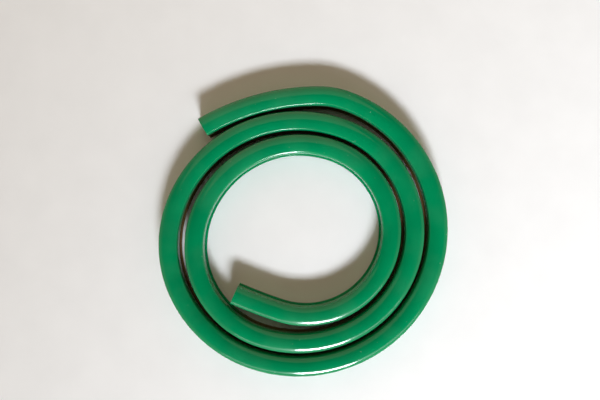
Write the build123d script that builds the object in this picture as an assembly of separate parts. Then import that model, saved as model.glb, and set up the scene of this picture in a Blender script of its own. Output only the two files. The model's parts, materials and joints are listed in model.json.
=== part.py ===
from build123d import *
import math
import os

# Flexible curve ruler, lying coiled up on its foot. Lengths are in millimetres.
# A long plastic sheath with a raised ink edge down both sides holds a soft metal core
# between two spring bands. The core keeps whatever curve the ruler is bent to.
# Most of the coil is one rigid stretch. Both of its free ends are cut into short links
# that turn on upright knuckles, because the ruler bends there without meeting itself.

# Size of the ruler
ruler_length = 800.0
ruler_height = 9.0

# Sheath section, from the paper upwards
foot_width = 6.0
foot_height = 1.0
edge_width = 8.5
edge_thickness = 1.1
edge_bevel = 0.2
body_width = 7.7
crown_radius = 7.0
shoulder_bevel = 0.8

# Core and bands, standing side by side in the sheath's channel
core_width = 3.0
core_height = 5.0
band_thickness = 0.25
band_height = 5.0
channel_floor = 2.7
fit_clearance = 0.05
plug_depth = 4.0
plug_recess = 0.3

# Coil, as seen from above, wound anticlockwise from its inner end
inner_turn_radius = 34.9
turn_gap = 0.79
start_heading = -24.0

# Free ends: how many links each has and how long they are. Outer links turn by up to 25
# degrees and inner links by up to 14, which the opening of their sockets leaves room for.
outer_link_count = 5
outer_link_length = 26.0
inner_link_count = 3
inner_link_length = 24.0
knuckle_clearance = 0.1
knuckle_wall = 1.0
socket_opening = 2.0

# How many points along the ruler measure the gap between its turns
point_count = 800

# Each row is a stretch of the coil that bends steadily: the angle that it turns by, and
# its radius as shares of the inner turn's radius and of the step from turn to turn.
# Both ends spring back straighter than the turns between them.
turn_step = edge_width + turn_gap
coil_shares = (
    (6, 5.40, 0.00),
    (179, 1.00, 0.00),
    (45, 1.00, 0.80),
    (45, 1.00, 1.02),
    (45, 1.00, 0.32),
    (45, 1.00, 0.47),
    (45, 1.00, 1.56),
    (45, 1.00, 1.21),
    (90, 1.00, 1.01),
    (45, 1.00, 2.09),
    (45, 1.00, 1.87),
    (45, 1.00, 1.24),
    (45, 1.00, 1.79),
    (45, 1.00, 2.45),
    (45, 1.00, 2.32),
    (45, 1.00, 2.15),
    (45, 1.00, 2.29),
    (19, 0.94, 0.00),
    (29, 2.70, 0.00),
)

channel_width = core_width + 2 * band_thickness + 4 * fit_clearance
channel_height = max(core_height, band_height) + 2 * fit_clearance
edge_top = foot_height + edge_thickness


def coil_arcs():
    """The centreline as (run, radius) pairs, cut or drawn out to the ruler's length."""
    arcs = []
    left = ruler_length
    for turn, radius_share, step_share in coil_shares:
        radius = radius_share * inner_turn_radius + step_share * turn_step
        run = min(math.radians(turn) * radius, left)
        if run > 0:
            arcs.append((run, radius))
        left -= run
    run, radius = arcs[-1]
    arcs[-1] = (run + left, radius)
    return arcs


def move_along(spot, radius, run):
    """The spot (x, y, heading) after a run along an arc that bends to the left."""
    x, y, heading = spot
    ahead = heading + run / radius
    x += radius * (math.sin(ahead) - math.sin(heading))
    y -= radius * (math.cos(ahead) - math.cos(heading))
    return x, y, ahead


centreline = coil_arcs()


def spot_at(distance):
    """The centreline's spot at a distance from the ruler's inner end."""
    spot = (0.0, 0.0, math.radians(start_heading))
    for run, radius in centreline:
        step = min(run, distance)
        spot = move_along(spot, radius, step)
        distance -= step
    return spot


def stretch(start, end):
    """The centreline between two distances, as one wire of tangent arcs."""
    edges = []
    passed = 0.0
    for run, radius in centreline:
        low = max(start, passed)
        high = min(end, passed + run)
        passed += run
        if high - low > fit_clearance:
            points = [spot_at(low + share * (high - low))[:2] for share in (0, 0.5, 1)]
            edges.append(ThreePointArc(*points))
    return Wire(edges)


def upright_plane(spot):
    """A plane across the ruler: its x points to the left, its y up, its z ahead."""
    x, y, heading = spot
    left = (-math.sin(heading), math.cos(heading), 0)
    ahead = (math.cos(heading), math.sin(heading), 0)
    return Plane(origin=(x, y, 0), x_dir=left, z_dir=ahead)


def bar_section(width, low, high, aside=0.0):
    """A rectangle from one height to another, its middle aside from the centreline."""
    return Pos(aside, (low + high) / 2) * Rectangle(width, high - low)


def sheath_section():
    """The sheath's outline: foot, ink edges, body and crowned top with broken shoulders."""
    body = bar_section(body_width, foot_height, ruler_height)
    body &= Pos(0, ruler_height - crown_radius) * Circle(crown_radius)
    shoulders = body.vertices().group_by(Axis.Y)[-1]
    body = chamfer(shoulders, shoulder_bevel)
    edge = bar_section(edge_width, foot_height, edge_top)
    edge = chamfer(edge.vertices().group_by(Axis.Y)[-1], edge_bevel)
    foot = bar_section(foot_width, 0, foot_height + edge_thickness / 2)
    return foot + edge + body


def swept(section, start, end):
    """The solid that a section leaves along a stretch of the ruler."""
    face = upright_plane(spot_at(start)) * section
    return sweep(face, path=stretch(start, end))


def knuckle(spot, side):
    """The turned end past a hinge: side is 1 for the end ahead and -1 for the end behind."""
    x, y, heading = spot
    half = bar_section(edge_width / 2, 0, ruler_height, -side * edge_width / 4)
    profile = upright_plane(spot) * (sheath_section() & half)
    return revolve(profile, Axis((x, y, 0), (0, 0, 1)), 180)


def socket_cutter(spot):
    """What a link loses round the knuckle that it turns on: an upright disc for each step
    of the section, larger than the knuckle by its clearance."""
    x, y, heading = spot
    levels = (
        (foot_width, 0, foot_height),
        (edge_width, foot_height, edge_top),
        (body_width, edge_top, ruler_height),
    )
    discs = []
    for width, low, high in levels:
        low -= knuckle_clearance
        high += knuckle_clearance
        disc = Cylinder(width / 2 + knuckle_clearance, high - low)
        discs.append(Pos(x, y, (low + high) / 2) * disc)
    return discs[0] + discs[1] + discs[2]


def ruler_piece(start, end, start_form, end_form):
    """Sheath, core and bands of one stretch. A form is knuckle, socket or cut."""
    low, high = start, end
    if start_form == "socket":
        low += socket_opening
    if end_form == "socket":
        high -= socket_opening
    sheath = swept(sheath_section(), low, high)
    low, high = start, end
    if start_form == "knuckle":
        sheath += knuckle(spot_at(start), -1)
    if end_form == "knuckle":
        sheath += knuckle(spot_at(end), 1)
    if start_form == "socket":
        sheath -= socket_cutter(spot_at(start))
        low += body_width / 2 + knuckle_clearance + knuckle_wall
    if end_form == "socket":
        sheath -= socket_cutter(spot_at(end))
        high -= body_width / 2 + knuckle_clearance + knuckle_wall
    channel_top = channel_floor + channel_height
    channel = bar_section(channel_width, channel_floor, channel_top)
    sheath -= swept(channel, low, high)
    if start_form == "cut":
        low += plug_depth
    if end_form == "cut":
        high -= plug_depth
    low += fit_clearance
    high -= fit_clearance
    middle = channel_floor + channel_height / 2
    core = bar_section(core_width, middle - core_height / 2, middle + core_height / 2)
    band_side = core_width / 2 + fit_clearance + band_thickness / 2
    bands = []
    for side in (1, -1):
        low_edge = middle - band_height / 2
        band = bar_section(band_thickness, low_edge, low_edge + band_height, side * band_side)
        bands.append(swept(band, low, high))
    return {
        "sheath": sheath,
        "lead_core": swept(core, low, high),
        "inner_spring_band": bands[0],
        "outer_spring_band": bands[1],
    }


def end_plug(start, end):
    """The plug that closes the channel at a cut end."""
    low = channel_floor + fit_clearance
    high = low + channel_height - 2 * fit_clearance
    section = bar_section(channel_width - 2 * fit_clearance, low, high)
    return swept(section, start, end)


def add_pieces(nodes, label, pieces):
    """Names each piece of a stretch after the stretch."""
    for name, solid in pieces.items():
        nodes[label + "_" + name] = solid


nodes = {}
hinges = {}

# The rigid stretch of the coil, with a knuckle at both of its ends
coil_start = inner_link_count * inner_link_length
coil_end = ruler_length - outer_link_count * outer_link_length
coil = ruler_piece(coil_start, coil_end, "knuckle", "knuckle")
add_pieces(nodes, "coil", coil)

# The outer end's links, counted from the coil outwards, open away from the turn inside
for number in range(1, outer_link_count + 1):
    end = coil_end + number * outer_link_length
    start = end - outer_link_length
    form = "cut" if number == outer_link_count else "knuckle"
    pieces = ruler_piece(start, end, "socket", form)
    add_pieces(nodes, f"outer_link_{number}", pieces)
    hinges[f"outer_hinge_{number}"] = spot_at(start)

# The inner end's links, counted from the coil inwards, curl in towards the middle
for number in range(1, inner_link_count + 1):
    start = coil_start - number * inner_link_length
    end = start + inner_link_length
    form = "cut" if number == inner_link_count else "knuckle"
    pieces = ruler_piece(start, end, form, "socket")
    add_pieces(nodes, f"inner_link_{number}", pieces)
    hinges[f"inner_hinge_{number}"] = spot_at(end)

nodes["inner_end_plug"] = end_plug(plug_recess, plug_depth)
nodes["outer_end_plug"] = end_plug(ruler_length - plug_depth, ruler_length - plug_recess)

# The least gap between turns, on points along the centreline
points = [spot_at(share / point_count * ruler_length)[:2] for share in range(point_count + 1)]
skipped = math.ceil(2 * math.pi * inner_turn_radius / 2 / ruler_length * point_count)
least_gap = min(
    math.dist(points[first], points[second]) - edge_width
    for first in range(point_count)
    for second in range(first + skipped, point_count + 1)
)
print("least gap between turns", round(least_gap, 3))

# The origin is on the ground under the middle of the whole outline
boxes = [solid.bounding_box() for solid in nodes.values()]
middle_x = (min(box.min.X for box in boxes) + max(box.max.X for box in boxes)) / 2
middle_y = (min(box.min.Y for box in boxes) + max(box.max.Y for box in boxes)) / 2
to_origin = Pos(-middle_x, -middle_y, 0)
print("coil's start is at", round(-middle_x, 3), round(-middle_y, 3))

os.makedirs("parts", exist_ok=True)
for name, solid in nodes.items():
    export_step(to_origin * solid, f"parts/{name}.step")
for name, (x, y, heading) in hinges.items():
    print(name, round(x - middle_x, 3), round(y - middle_y, 3), round(math.degrees(heading), 1))
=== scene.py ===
# %% [markdown]
# # A flexible curve ruler, coiled up
#
# A draughtsman bends this green ruler to a curve and runs a pen along it. It is one long
# plastic extrusion with a lead bar and two steel bands inside, and here it lies rolled up
# in two and a half turns, as it is sold.
#
# The rigid model fixes where everything is. It is loaded first, and every new piece is
# made in its frame, in metres, so that nothing has to be fitted by eye.

import json
import math

import bmesh
import bpy
from mathutils import Matrix, Vector


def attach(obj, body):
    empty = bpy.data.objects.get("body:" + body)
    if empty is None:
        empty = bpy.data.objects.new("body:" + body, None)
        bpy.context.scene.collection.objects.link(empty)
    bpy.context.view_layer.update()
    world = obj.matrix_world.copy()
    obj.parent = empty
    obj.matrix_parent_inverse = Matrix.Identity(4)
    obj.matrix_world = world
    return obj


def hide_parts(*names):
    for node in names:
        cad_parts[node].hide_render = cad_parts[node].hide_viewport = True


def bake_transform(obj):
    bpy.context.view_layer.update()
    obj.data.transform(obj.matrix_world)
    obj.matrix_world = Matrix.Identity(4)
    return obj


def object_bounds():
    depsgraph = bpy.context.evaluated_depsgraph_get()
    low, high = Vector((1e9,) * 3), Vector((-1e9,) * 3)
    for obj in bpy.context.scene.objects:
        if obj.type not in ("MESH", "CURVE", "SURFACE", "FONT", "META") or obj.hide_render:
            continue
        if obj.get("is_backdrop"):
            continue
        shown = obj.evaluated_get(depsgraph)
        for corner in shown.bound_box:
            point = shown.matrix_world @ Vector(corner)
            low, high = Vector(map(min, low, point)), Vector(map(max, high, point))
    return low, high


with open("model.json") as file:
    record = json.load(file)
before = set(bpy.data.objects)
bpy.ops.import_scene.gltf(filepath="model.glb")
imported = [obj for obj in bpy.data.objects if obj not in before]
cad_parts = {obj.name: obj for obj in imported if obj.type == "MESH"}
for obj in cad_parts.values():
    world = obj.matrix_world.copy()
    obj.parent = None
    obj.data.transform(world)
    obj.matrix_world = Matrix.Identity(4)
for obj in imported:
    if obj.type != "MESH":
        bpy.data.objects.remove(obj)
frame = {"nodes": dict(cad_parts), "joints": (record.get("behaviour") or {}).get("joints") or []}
model_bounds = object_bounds()
mm = 0.001
print("model spans", [round(high - low, 4) for low, high in zip(*model_bounds)])

# %% [markdown]
# ## The camera
#
# The photograph was taken from straight above, close enough for the inner walls of the
# coil to show all round. A camera can be aimed with a constraint or placed by its own
# values. A camera that looks straight down needs no turning at all, so plain values are
# the shortest way: its height over the ruler's top sets how much of the walls is seen,
# and the lens is then the one that frames the coil as large as it is there.

# %% Place the camera
ruler_height = 9 * mm
camera_height = 200 * mm
view_width = 241.8 * mm
view_middle = Vector((-1.27 * mm, 12.73 * mm, ruler_height))

camera_data = bpy.data.cameras.new("camera")
camera_data.sensor_width = 36
camera_data.lens = camera_data.sensor_width * camera_height / view_width
camera_data.clip_start = 10 * mm
camera = bpy.data.objects.new("camera", camera_data)
camera.location = view_middle + Vector((0, 0, camera_height))
bpy.context.scene.collection.objects.link(camera)
bpy.context.scene.camera = camera
print("lens", round(camera_data.lens, 1), "mm")

# %% [markdown]
# ## Helpers for materials
#
# A material is a small graph of nodes. Written out in full, each node takes several lines
# and the idea is lost among them, so one helper adds a node, sets its values and joins its
# inputs to the outputs that feed them.

# %% Add a node in one call
def add_node(tree, kind, inputs=None, **settings):
    """Adds a node. An input is given a plain value, or the output that it is joined to."""
    node = tree.nodes.new(kind)
    for name, value in settings.items():
        setattr(node, name, value)
    for socket, value in (inputs or {}).items():
        if isinstance(value, bpy.types.NodeSocket):
            tree.links.new(value, node.inputs[socket])
        else:
            node.inputs[socket].default_value = value
    return node


def add_ramp(tree, factor, stops):
    """A colour ramp from a list of (place, grey or colour) stops."""
    ramp = add_node(tree, "ShaderNodeValToRGB", {"Fac": factor})
    elements = ramp.color_ramp.elements
    while len(elements) < len(stops):
        elements.new(0.5)
    for element, (place, colour) in zip(elements, stops):
        element.position = place
        element.color = (*colour, 1) if isinstance(colour, tuple) else (colour,) * 3 + (1,)
    return ramp.outputs["Color"]


def mix_colours(tree, factor, first, second):
    """One colour fading into the other. Of the node's sockets, 6 and 7 are its colours."""
    mix = tree.nodes.new("ShaderNodeMix")
    mix.data_type = "RGBA"
    for socket, value in ((0, factor), (6, first), (7, second)):
        if isinstance(value, bpy.types.NodeSocket):
            tree.links.new(value, mix.inputs[socket])
        else:
            mix.inputs[socket].default_value = value
    return mix.outputs[2]


def new_material(name, roughness, metallic=0.0):
    """A material with only its surface shader, which the later nodes feed."""
    material = bpy.data.materials.new(name)
    material.use_nodes = True
    shader = material.node_tree.nodes["Principled BSDF"]
    shader.inputs["Roughness"].default_value = roughness
    shader.inputs["Metallic"].default_value = metallic
    return material, material.node_tree, shader


print("helpers ready")

# %% [markdown]
# ## The floor and the light
#
# One small lamp stands low beyond the lower edge of the picture, a little to the right, and
# throws the shadows up and to the left. It is feathered: it points past the right of the coil,
# so that the light falls off towards the left. A long, low strip beside it draws the thin pale
# lines along the shoulders of the ruler, all the way round instead of only where they face
# the small lamp. A wide, warm and weak panel on the far side lies as a haze on the slopes that
# face it and keeps the shadows brown. The sky is pale at the horizon and dark overhead, which
# keeps the flat top a full green instead of a milky one.

# %% Make the pale floor
floor_reach = 8.0
floor_mesh = bpy.data.meshes.new("floor")
shape = bmesh.new()
bmesh.ops.create_grid(shape, x_segments=1, y_segments=1, size=floor_reach)
shape.to_mesh(floor_mesh)
shape.free()
floor = bpy.data.objects.new("floor", floor_mesh)
bpy.context.scene.collection.objects.link(floor)
floor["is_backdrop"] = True

card, tree, shader = new_material("pale_card", 0.6)
card_grain = add_node(tree, "ShaderNodeTexNoise", {"Scale": 60.0, "Detail": 4.0})
tree.links.new(
    add_node(tree, "ShaderNodeTexCoord").outputs["Object"], card_grain.inputs["Vector"]
)
card_colour = add_ramp(
    tree, card_grain.outputs["Fac"], [(0.3, (0.86, 0.86, 0.86)), (0.7, (0.89, 0.89, 0.89))]
)
tree.links.new(card_colour, shader.inputs["Base Color"])
floor_mesh.materials.append(card)
print("floor reaches", floor_reach, "m")

# %% Set up the lamps and the panel
def add_lamp(name, azimuth, elevation, distance, size, power, colour, aim=(0, 0, 0)):
    """A lamp (width, height); azimuth 0 is the picture's right, 90 its top. It faces its aim."""
    lamp_data = bpy.data.lights.new(name, "AREA")
    lamp_data.shape = "RECTANGLE"
    lamp_data.size, lamp_data.size_y = size
    lamp_data.energy = power
    lamp_data.color = colour
    turn, rise = math.radians(azimuth), math.radians(elevation)
    towards = Vector(
        (math.cos(turn) * math.cos(rise), math.sin(turn) * math.cos(rise), math.sin(rise))
    )
    lamp = bpy.data.objects.new(name, lamp_data)
    lamp.location = towards * distance
    lamp.rotation_euler = (lamp.location - Vector(aim)).to_track_quat("Z", "Y").to_euler()
    bpy.context.scene.collection.objects.link(lamp)
    return lamp


daylight = (0.87, 0.92, 0.98)
warm_haze = (1.0, 0.78, 0.54)
window_side, window_rise = 281, 34
past_the_coil = (0.42, 0.1, 0)
key_lamp = add_lamp(
    "key_lamp", window_side, window_rise, 1.5, (0.5, 0.22), 6.7, daylight, past_the_coil
)
key_lamp.data.spread = math.radians(70)
add_lamp("strip_lamp", window_side, window_rise, 0.9, (1.3, 0.11), 1.5, daylight)
add_lamp("haze_panel", 105, 45, 1.2, (1.3, 1.3), 3.0, warm_haze)
print("lamps ready")

# %% Make the sky
world = bpy.data.worlds.new("studio")
world.use_nodes = True
bpy.context.scene.world = world
tree = world.node_tree
direction = add_node(tree, "ShaderNodeTexCoord").outputs["Generated"]
height = add_node(tree, "ShaderNodeSeparateXYZ", {"Vector": direction}).outputs["Z"]
sky_colour = add_ramp(
    tree,
    height,
    [(0.0, (0.92, 0.8, 0.62)), (0.38, (0.57, 0.44, 0.285)), (0.7, (0.012, 0.007, 0.005))],
)
tree.links.new(sky_colour, tree.nodes["Background"].inputs["Color"])
bpy.context.scene.view_settings.view_transform = "Standard"
print("sky ready")

# %% [markdown]
# ## The route of the coil
#
# Seen from above, the ruler's middle line is a chain of arcs that run smoothly one into the
# next: each quarter turn is a little wider than the turn inside it. The route could be a
# curve object, but a curve hides where its arcs begin, and an arc is just what the spin
# tool needs. So it is kept as a list of arcs, each with its length and radius.

# %% Work out the arcs
ruler_length = 800 * mm
edge_width = 8.5 * mm
turn_gap = 0.79 * mm
inner_turn_radius = 34.9 * mm
start_heading = math.radians(-24)
turn_step = edge_width + turn_gap

# Each row: the angle turned by, then shares of the inner turn's radius and the turn step
coil_shares = (
    (6, 5.40, 0.00),
    (179, 1.00, 0.00),
    (45, 1.00, 0.80),
    (45, 1.00, 1.02),
    (45, 1.00, 0.32),
    (45, 1.00, 0.47),
    (45, 1.00, 1.56),
    (45, 1.00, 1.21),
    (90, 1.00, 1.01),
    (45, 1.00, 2.09),
    (45, 1.00, 1.87),
    (45, 1.00, 1.24),
    (45, 1.00, 1.79),
    (45, 1.00, 2.45),
    (45, 1.00, 2.32),
    (45, 1.00, 2.15),
    (45, 1.00, 2.29),
    (19, 0.94, 0.00),
    (29, 2.70, 0.00),
)


def coil_arcs():
    """The route as (run, radius) pairs, drawn out to the ruler's length."""
    arcs = []
    left = ruler_length
    for turn, radius_share, step_share in coil_shares:
        radius = radius_share * inner_turn_radius + step_share * turn_step
        run = min(math.radians(turn) * radius, left)
        if run > 0:
            arcs.append((run, radius))
        left -= run
    run, radius = arcs[-1]
    arcs[-1] = (run + left, radius)
    return arcs


def move_along(spot, radius, run):
    """The spot (x, y, heading) after a run along an arc that bends to the left."""
    x, y, heading = spot
    ahead = heading + run / radius
    x += radius * (math.sin(ahead) - math.sin(heading))
    y -= radius * (math.cos(ahead) - math.cos(heading))
    return x, y, ahead


def spot_at(distance):
    """The route's spot at a distance from the ruler's inner end."""
    spot = route_start
    for run, radius in route:
        step = min(run, distance)
        spot = move_along(spot, radius, step)
        distance -= step
    return spot


route = coil_arcs()
route_start = (0.0, 0.0, start_heading)
print("arcs", len(route), "radii in mm", [round(radius / mm, 1) for run, radius in route])

# %% [markdown]
# ## Where the ruler bends
#
# Both free ends bend, and the model gives each of them a row of upright hinges. The hinges
# are also the surest marks to lay the route on: it is moved until its spot at the first
# outer hinge is that hinge's own place, and the others then show how well it lies.

# %% Lay the route on the hinges
outer_link_length = 26 * mm
inner_link_length = 24 * mm
hinges = {joint["name"]: joint for joint in frame["joints"]}
outer_count = sum(name.startswith("outer") for name in hinges)
inner_count = len(hinges) - outer_count
coil_start = inner_count * inner_link_length
coil_end = ruler_length - outer_count * outer_link_length

x, y, heading = spot_at(coil_end)
hinge_x, hinge_y, hinge_z = hinges["outer_hinge_1"]["pos_m"]
route_start = (hinge_x - x, hinge_y - y, start_heading)

for number in range(1, inner_count + 1):
    x, y, heading = spot_at(coil_start - (number - 1) * inner_link_length)
    place = Vector(hinges[f"inner_hinge_{number}"]["pos_m"]).xy
    miss = (place - Vector((x, y))).length
    print("inner hinge", number, "is off the route by mm", round(miss / mm, 4))

# %% [markdown]
# ## The outline that is drawn along the route
#
# The die of an extruder gives the sheath one outline all the way: a foot that keeps the pen's
# edge off the paper, a thin ink edge on both sides, upright walls and a crowned top. Only half
# of it needs making. A vertex is moved from corner to corner, the last one is spun about the
# crown's centre to round the top, the corners are bevelled, and mirror gives the other half.
#
# The rigid model keeps its turns well clear of each other. The ink edges are drawn a little
# wider here, because in the photograph those of neighbouring turns all but touch.

# %% Draw half an outline and mirror it
same_place = 0.01 * mm
foot_width = 6 * mm
foot_height = 1 * mm
soft_edge_width = 8.8 * mm
edge_thickness = 1.1 * mm
edge_top = foot_height + edge_thickness
body_width = 7.7 * mm
crown_radius = 7 * mm
crown_segments = 8
shoulder_round = 0.8 * mm
edge_round = 0.2 * mm


def round_corners(shape, places, size, segments):
    """Rounds the outline at these (across, up) corners."""
    corners = [
        vert
        for vert in shape.verts
        if any((vert.co.xz - Vector(place)).length < same_place for place in places)
    ]
    bmesh.ops.bevel(
        shape,
        geom=corners,
        offset=size,
        offset_type="OFFSET",
        segments=segments,
        profile=0.5,
        affect="VERTICES",
        material=-1,
    )


def sheath_outline():
    """The outline, upright in the XZ plane: X is across the ruler and Z is up."""
    shape = bmesh.new()
    half_body = body_width / 2
    crown_centre = ruler_height - crown_radius
    crown_half_angle = math.asin(half_body / crown_radius)
    shoulder = (half_body, crown_centre + crown_radius * math.cos(crown_half_angle))
    corners = (
        (0, 0),
        (foot_width / 2, 0),
        (foot_width / 2, foot_height),
        (soft_edge_width / 2, foot_height),
        (soft_edge_width / 2, edge_top),
        (half_body, edge_top),
        shoulder,
    )
    verts = [shape.verts.new((across, 0, up)) for across, up in corners]
    for first, second in zip(verts, verts[1:]):
        shape.edges.new((first, second))
    bmesh.ops.spin(
        shape,
        geom=[verts[-1]],
        cent=(0, 0, crown_centre),
        axis=(0, -1, 0),
        angle=crown_half_angle,
        steps=crown_segments,
    )
    bmesh.ops.remove_doubles(shape, verts=shape.verts, dist=same_place)
    round_corners(shape, corners[3:5], edge_round, 3)
    round_corners(shape, corners[6:7], shoulder_round, 8)
    bmesh.ops.mirror(
        shape,
        geom=shape.verts[:] + shape.edges[:],
        merge_dist=same_place,
        axis="X",
    )
    return shape


shape = sheath_outline()
loose = [edge for edge in shape.edges if any(len(vert.link_edges) != 2 for vert in edge.verts)]
print("outline has", len(shape.verts), "points,", len(loose), "open edges")
print("it spans mm", round(max(v.co.x for v in shape.verts) * 2 / mm, 2), "by",
      round(max(v.co.z for v in shape.verts) / mm, 2))
shape.free()

# %% [markdown]
# ## From outline to sheath
#
# A curve with a bevel object would sweep the outline too, but it leaves no record of how far
# along the ruler a point lies, and the finish needs that for its long faint lines. Here the
# spin tool turns the last ring about the centre of its arc, a millimetre or so at a time, and
# every new ring keeps its distance from the inner end in an attribute.
#
# The sheath is hollow: a second, plain rectangle goes round with the outline and makes the
# channel that the lead core and its bands lie in. At both ends the two are filled between.

# %% Sweep a hollow length of sheath
channel_width = 3.7 * mm
channel_floor = 2.7 * mm
channel_height = 5.1 * mm
ring_spacing = 1.25 * mm
first_turn = 240 * mm
last_turn = 340 * mm
shelter_fade = 10 * mm
crease_angle = math.radians(35)


def route_stretches(start, end):
    """The parts of the route's arcs between two distances, as (low, high, radius)."""
    passed = 0.0
    for run, radius in route:
        low = max(start, passed)
        high = min(end, passed + run)
        passed += run
        if high > low:
            yield low, high, radius


def place_across(spot):
    """The matrix that stands an outline from the XZ plane across the route at a spot."""
    x, y, heading = spot
    return Matrix.Translation((x, y, 0)) @ Matrix.Rotation(heading - math.pi / 2, 4, "Z")


def shelter(along, across):
    """How far a side is hidden by the turn beside it, from 0 in the open to 1 in a gap; this
    masks the painted shade in the gaps.
    """
    past_opening = along - first_turn if across < 0 else ruler_length - last_turn - along
    return min(max(past_opening / shelter_fade, 0), 1)


def fill_end(shape, ring):
    """Closes the ring of plastic between the outline and the channel."""
    edges = [item for item in ring if isinstance(item, bmesh.types.BMEdge)]
    bmesh.ops.triangle_fill(shape, use_beauty=True, edges=edges)


def sheath_length(name, start, end):
    """A length of sheath between two distances along the ruler, as a mesh object."""
    shape = sheath_outline()
    channel = bmesh.ops.create_grid(shape, x_segments=1, y_segments=1, size=0.5)["verts"]
    channel_middle = channel_floor + channel_height / 2
    to_channel = (
        Matrix.Translation((0, 0, channel_middle))
        @ Matrix.Rotation(math.pi / 2, 4, "X")
        @ Matrix.Diagonal((channel_width, channel_height, 1, 1))
    )
    bmesh.ops.transform(shape, matrix=to_channel, verts=channel)
    bmesh.ops.delete(shape, geom=shape.faces[:], context="FACES_ONLY")
    along = shape.verts.layers.float.new("along")
    across = shape.verts.layers.float.new("across")
    sheltered = shape.verts.layers.float.new("sheltered")
    for vert in shape.verts:
        vert[along] = start
        vert[across] = vert.co.x
    bmesh.ops.transform(shape, matrix=place_across(spot_at(start)), verts=shape.verts)
    ring = shape.verts[:] + shape.edges[:]
    first_ring = ring
    for low, high, radius in route_stretches(start, end):
        x, y, heading = spot_at(low)
        centre = (x - radius * math.sin(heading), y + radius * math.cos(heading), 0)
        steps = max(1, round((high - low) / ring_spacing))
        run = (high - low) / steps
        for step in range(1, steps + 1):
            ring = bmesh.ops.spin(
                shape, geom=ring, cent=centre, axis=(0, 0, 1), angle=run / radius, steps=1
            )["geom_last"]
            for item in ring:
                if isinstance(item, bmesh.types.BMVert):
                    item[along] = low + step * run
    fill_end(shape, first_ring)
    fill_end(shape, ring)
    # Each point keeps how far it lies in a gap between turns, which masks the painted shade
    # there.
    for vert in shape.verts:
        vert[sheltered] = shelter(vert[along], vert[across])
    bmesh.ops.recalc_face_normals(shape, faces=shape.faces)
    for face in shape.faces:
        face.smooth = True
    for edge in shape.edges:
        edge.smooth = edge.calc_face_angle(math.pi) < crease_angle
    open_edges = sum(not edge.is_manifold for edge in shape.edges)
    mesh = bpy.data.meshes.new(name)
    shape.to_mesh(mesh)
    shape.free()
    piece = bpy.data.objects.new(name, mesh)
    bpy.context.scene.collection.objects.link(piece)
    print(name, "faces", len(mesh.polygons), "open edges", open_edges)
    return piece


# %% [markdown]
# ## The lengths of the sheath
#
# The middle of the coil is one rigid length, which rides on the coil's body. Across each hinge
# lies a length of its own that reaches from the middle of one link to the middle of the next,
# so that the hinge falls well inside it and its ends stay square where they meet their
# neighbours. These lengths are baked in place along the route as it lies at rest, ride on no
# body and are not bent: the two shares below, for the reach before and beyond the hinge, only
# pick out spots on the route that nothing uses.

# %% Make the rigid length and the lengths across the hinges
fixed_reach_share = 0.22
moving_reach_share = 0.45
sheaths = []


def bending_sheath(name, start, end, hinge_at, link_length, joint, node):
    """A length of sheath across a hinge, baked in place along the route at rest; the link's
    sheath from the rigid model is hidden.
    """
    piece = sheath_length(name, start, end)
    onward = -link_length if joint["name"].startswith("inner") else link_length
    for share in (-fixed_reach_share, moving_reach_share):
        x, y, heading = spot_at(hinge_at + share * onward)
    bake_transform(piece)
    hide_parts(node)
    sheaths.append(piece)


rigid_start = coil_start + inner_link_length / 2
rigid_end = coil_end - outer_link_length / 2
coil_sheath = sheath_length("sheath_coil", rigid_start, rigid_end)
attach(coil_sheath, "coil")
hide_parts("coil_sheath")
sheaths.append(coil_sheath)

for number in range(1, outer_count + 1):
    hinge_at = coil_end + (number - 1) * outer_link_length
    end = hinge_at + outer_link_length / 2 if number < outer_count else ruler_length
    bending_sheath(
        f"sheath_outer_{number}",
        hinge_at - outer_link_length / 2,
        end,
        hinge_at,
        outer_link_length,
        hinges[f"outer_hinge_{number}"],
        f"outer_link_{number}_sheath",
    )

for number in range(1, inner_count + 1):
    hinge_at = coil_start - (number - 1) * inner_link_length
    start = hinge_at - inner_link_length / 2 if number < inner_count else 0
    bending_sheath(
        f"sheath_inner_{number}",
        start,
        hinge_at + inner_link_length / 2,
        hinge_at,
        inner_link_length,
        hinges[f"inner_hinge_{number}"],
        f"inner_link_{number}_sheath",
    )

# %% [markdown]
# ## Effects that several finishes share
#
# Extruded plastic and rolled strip both carry fine lines along their length, and everything
# that is handled gathers dust and rubs. Each effect is a node group with its own inputs, so
# that it is made once and every material sets how much of it shows.

# %% Group: lines drawn along the length
def new_group(name, inputs, outputs):
    """An empty node group with plain number inputs and outputs, and a vector to start from."""
    group = bpy.data.node_groups.new(name, "ShaderNodeTree")
    group.interface.new_socket("Vector", in_out="INPUT", socket_type="NodeSocketVector")
    for label, value in inputs.items():
        socket = group.interface.new_socket(label, in_out="INPUT", socket_type="NodeSocketFloat")
        socket.default_value = value
    for label in outputs:
        group.interface.new_socket(label, in_out="OUTPUT", socket_type="NodeSocketFloat")
    entry = group.nodes.new("NodeGroupInput")
    exit_node = group.nodes.new("NodeGroupOutput")
    return group, entry.outputs, exit_node.inputs


def stretched(tree, vector, scale):
    """The vector with each of its three parts scaled by its own number."""
    return add_node(
        tree, "ShaderNodeVectorMath", {0: vector, 1: scale}, operation="MULTIPLY"
    ).outputs["Vector"]


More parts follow.
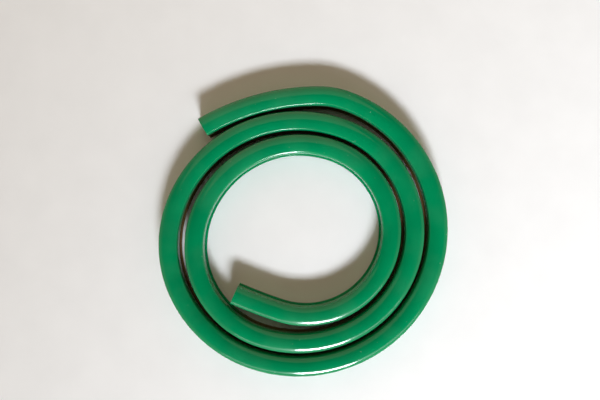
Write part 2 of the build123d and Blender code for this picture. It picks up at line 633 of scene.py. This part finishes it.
drawn_lines, entry, outlet = new_group("drawn_lines", {"Fineness": 1.0}, ["Height"])
fine_vector = add_node(
    drawn_lines, "ShaderNodeVectorMath", {0: entry["Vector"]}, operation="SCALE"
)
drawn_lines.links.new(entry["Fineness"], fine_vector.inputs["Scale"])
coarse = add_node(
    drawn_lines,
    "ShaderNodeTexNoise",
    {"Vector": stretched(drawn_lines, fine_vector.outputs["Vector"], (6, 500, 500)),
     "Scale": 1.0, "Detail": 2.0},
)
fine = add_node(
    drawn_lines,
    "ShaderNodeTexNoise",
    {"Vector": stretched(drawn_lines, fine_vector.outputs["Vector"], (15, 2200, 2200)),
     "Scale": 1.0, "Detail": 3.0},
)
both = add_node(
    drawn_lines, "ShaderNodeMath", {0: coarse.outputs["Fac"], 1: fine.outputs["Fac"]},
    operation="ADD",
)
drawn_lines.links.new(both.outputs["Value"], outlet["Height"])
print("group", drawn_lines.name)

# %% Group: dust and rubbed patches
handling, entry, outlet = new_group(
    "handling", {"Dust": 0.5, "Rubbed": 0.5}, ["Specks", "Patches"]
)
specks = add_node(
    handling, "ShaderNodeTexVoronoi", {"Vector": entry["Vector"], "Scale": 420.0}
)
speck_mask = add_ramp(handling, specks.outputs["Distance"], [(0.0, 1.0), (0.12, 0.0)])
cluster = add_node(
    handling, "ShaderNodeTexNoise", {"Vector": entry["Vector"], "Scale": 150.0, "Detail": 2.0}
)
cluster_mask = add_ramp(handling, cluster.outputs["Fac"], [(0.58, 0.0), (0.68, 1.0)])
dust = add_node(
    handling, "ShaderNodeMath", {0: speck_mask, 1: cluster_mask}, operation="MULTIPLY"
)
dust = add_node(
    handling, "ShaderNodeMath", {0: dust.outputs["Value"], 1: entry["Dust"]},
    operation="MULTIPLY",
)
patches = add_node(
    handling, "ShaderNodeTexNoise", {"Vector": entry["Vector"], "Scale": 70.0, "Detail": 5.0}
)
patch_mask = add_ramp(handling, patches.outputs["Fac"], [(0.45, 0.0), (0.75, 1.0)])
rubbed = add_node(
    handling, "ShaderNodeMath", {0: patch_mask, 1: entry["Rubbed"]}, operation="MULTIPLY"
)
handling.links.new(dust.outputs["Value"], outlet["Specks"])
handling.links.new(rubbed.outputs["Value"], outlet["Patches"])
print("group", handling.name)

# %% [markdown]
# ## Green plastic
#
# The sheath is soft glossy vinyl, dyed through. Close up it is not one colour: the dye is a
# little uneven, the top is dulled where hands and other things have rubbed it, specks of dust
# cling to it, and the die has left faint lines that run the whole length and break the edges
# of the highlights into strands. Low down, on the ink edges and in the gaps between the turns,
# a dark brown is painted into the colour as shade, where the turns hide each other.

# %% Make the green plastic
def along_vector(tree):
    """A vector that follows the ruler: along its length, across it, and up."""
    along = add_node(tree, "ShaderNodeAttribute", attribute_name="along")
    across = add_node(tree, "ShaderNodeAttribute", attribute_name="across")
    place = add_node(tree, "ShaderNodeTexCoord").outputs["Object"]
    up = add_node(tree, "ShaderNodeSeparateXYZ", {"Vector": place}).outputs["Z"]
    return add_node(
        tree,
        "ShaderNodeCombineXYZ",
        {"X": along.outputs["Fac"], "Y": across.outputs["Fac"], "Z": up},
    ).outputs["Vector"]


def add_group(tree, group, inputs):
    """Places a node group in a material with its own values."""
    node = tree.nodes.new("ShaderNodeGroup")
    node.node_tree = group
    for socket, value in inputs.items():
        if isinstance(value, bpy.types.NodeSocket):
            tree.links.new(value, node.inputs[socket])
        else:
            node.inputs[socket].default_value = value
    return node.outputs


vinyl, tree, shader = new_material("green_vinyl", 0.22)
ruler_vector = along_vector(tree)
lines = add_group(tree, drawn_lines, {"Vector": ruler_vector, "Fineness": 1.0})
marks = add_group(tree, handling, {"Vector": ruler_vector, "Dust": 0.35, "Rubbed": 0.2})

dye = add_node(
    tree, "ShaderNodeTexNoise", {"Vector": ruler_vector, "Scale": 90.0, "Detail": 3.0}
)
dye_colour = add_ramp(
    tree,
    dye.outputs["Fac"],
    [(0.3, (0.0, 0.205, 0.075)), (0.7, (0.0, 0.235, 0.085))],
)
rubbed_colour = mix_colours(tree, marks["Patches"], dye_colour, (0.05, 0.28, 0.13, 1))
speckled_colour = mix_colours(tree, marks["Specks"], rubbed_colour, (0.62, 0.66, 0.58, 1))
# Painted shade: a dark brown is mixed into the colour low down on the sides that face the turn
# beside them, so the gaps and the ink edges in them look shaded.
up = add_node(tree, "ShaderNodeSeparateXYZ", {"Vector": ruler_vector}).outputs["Z"]
height_share = add_node(tree, "ShaderNodeMapRange", {"Value": up, "From Max": ruler_height})
low_shade_ramp = add_ramp(tree, height_share.outputs["Result"], [(0.3, 0.95), (0.66, 0.0)])
sheltered = add_node(tree, "ShaderNodeAttribute", attribute_name="sheltered").outputs["Fac"]
painted_gap_shade = add_node(
    tree, "ShaderNodeMath", {0: low_shade_ramp, 1: sheltered}, operation="MULTIPLY"
).outputs["Value"]
gap_shaded_colour = mix_colours(tree, painted_gap_shade, speckled_colour, (0.13, 0.062, 0.022, 1))
tree.links.new(gap_shaded_colour, shader.inputs["Base Color"])
gloss = add_node(
    tree,
    "ShaderNodeMapRange",
    {"Value": marks["Patches"], "To Min": 0.11, "To Max": 0.32},
)
tree.links.new(gloss.outputs["Result"], shader.inputs["Roughness"])
bump = add_node(
    tree,
    "ShaderNodeBump",
    {"Height": lines["Height"], "Strength": 0.5, "Distance": 0.02 * mm},
)
tree.links.new(bump.outputs["Normal"], shader.inputs["Normal"])
for piece in sheaths:
    piece.data.materials.append(vinyl)
print("green plastic on", len(sheaths), "lengths of sheath")

# %% [markdown]
# ## Lead, spring steel and the end plugs
#
# Inside, out of sight until the ruler is cut, lies a bar of soft lead between two strips of
# spring steel. They keep their shape from the rigid model and only need a finish: lead dulls
# to a blotchy grey, and the strip keeps the fine lines of the rolls.

# %% Make the lead and the steel
def object_vector(tree):
    """The place on the object, for pieces that have no record of their length."""
    return add_node(tree, "ShaderNodeTexCoord").outputs["Object"]


lead, tree, shader = new_material("dull_lead", 0.55, metallic=1.0)
place = object_vector(tree)
marks = add_group(tree, handling, {"Vector": place, "Dust": 0.1, "Rubbed": 0.9})
tarnish = add_node(tree, "ShaderNodeTexNoise", {"Vector": place, "Scale": 300.0, "Detail": 5.0})
lead_colour = add_ramp(
    tree,
    tarnish.outputs["Fac"],
    [(0.3, (0.16, 0.165, 0.18)), (0.7, (0.30, 0.31, 0.33))],
)
bright_lead = mix_colours(tree, marks["Patches"], lead_colour, (0.45, 0.46, 0.48, 1))
tree.links.new(bright_lead, shader.inputs["Base Color"])
bump = add_node(
    tree,
    "ShaderNodeBump",
    {"Height": tarnish.outputs["Fac"], "Strength": 0.4, "Distance": 0.05 * mm},
)
tree.links.new(bump.outputs["Normal"], shader.inputs["Normal"])

steel, tree, shader = new_material("rolled_steel", 0.28, metallic=1.0)
place = object_vector(tree)
lines = add_group(tree, drawn_lines, {"Vector": place, "Fineness": 1.0})
marks = add_group(tree, handling, {"Vector": place, "Dust": 0.1, "Rubbed": 0.5})
steel_colour = add_ramp(
    tree, lines["Height"], [(0.8, (0.46, 0.47, 0.49)), (1.2, (0.64, 0.65, 0.67))]
)
oiled_steel = mix_colours(tree, marks["Patches"], steel_colour, (0.36, 0.34, 0.31, 1))
tree.links.new(oiled_steel, shader.inputs["Base Color"])
print("lead and steel ready")

# %% Make the plugs' plastic and give every inner piece its finish
plug_plastic, tree, shader = new_material("plug_plastic", 0.4)
place = object_vector(tree)
marks = add_group(tree, handling, {"Vector": place, "Dust": 0.5, "Rubbed": 0.8})
moulding = add_node(tree, "ShaderNodeTexNoise", {"Vector": place, "Scale": 500.0, "Detail": 4.0})
plug_colour = add_ramp(
    tree,
    moulding.outputs["Fac"],
    [(0.3, (0.001, 0.12, 0.045)), (0.7, (0.003, 0.17, 0.065))],
)
worn_plug = mix_colours(tree, marks["Patches"], plug_colour, (0.03, 0.22, 0.10, 1))
tree.links.new(worn_plug, shader.inputs["Base Color"])

finishes = {
    "lead_core": lead,
    "inner_spring_band": steel,
    "outer_spring_band": steel,
    "end_plug": plug_plastic,
    "sheath": vinyl,
}
for name, node in frame["nodes"].items():
    finish = next(made for ending, made in finishes.items() if name.endswith(ending))
    node.data.materials.clear()
    node.data.materials.append(finish)
print("finishes given to", len(frame["nodes"]), "nodes")

# %% [markdown]
# ## Measure and finish
#
# The dressed ruler must be as large as the model that it dresses, so both boxes are printed
# side by side.

# %% Print the sizes of both boxes
scene_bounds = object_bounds()
sizes = {
    "model": [list(corner) for corner in model_bounds],
    "scene": [list(corner) for corner in scene_bounds],
}
for name, (low, high) in sizes.items():
    print(name, "spans mm", [round((b - a) / mm, 2) for a, b in zip(low, high)])
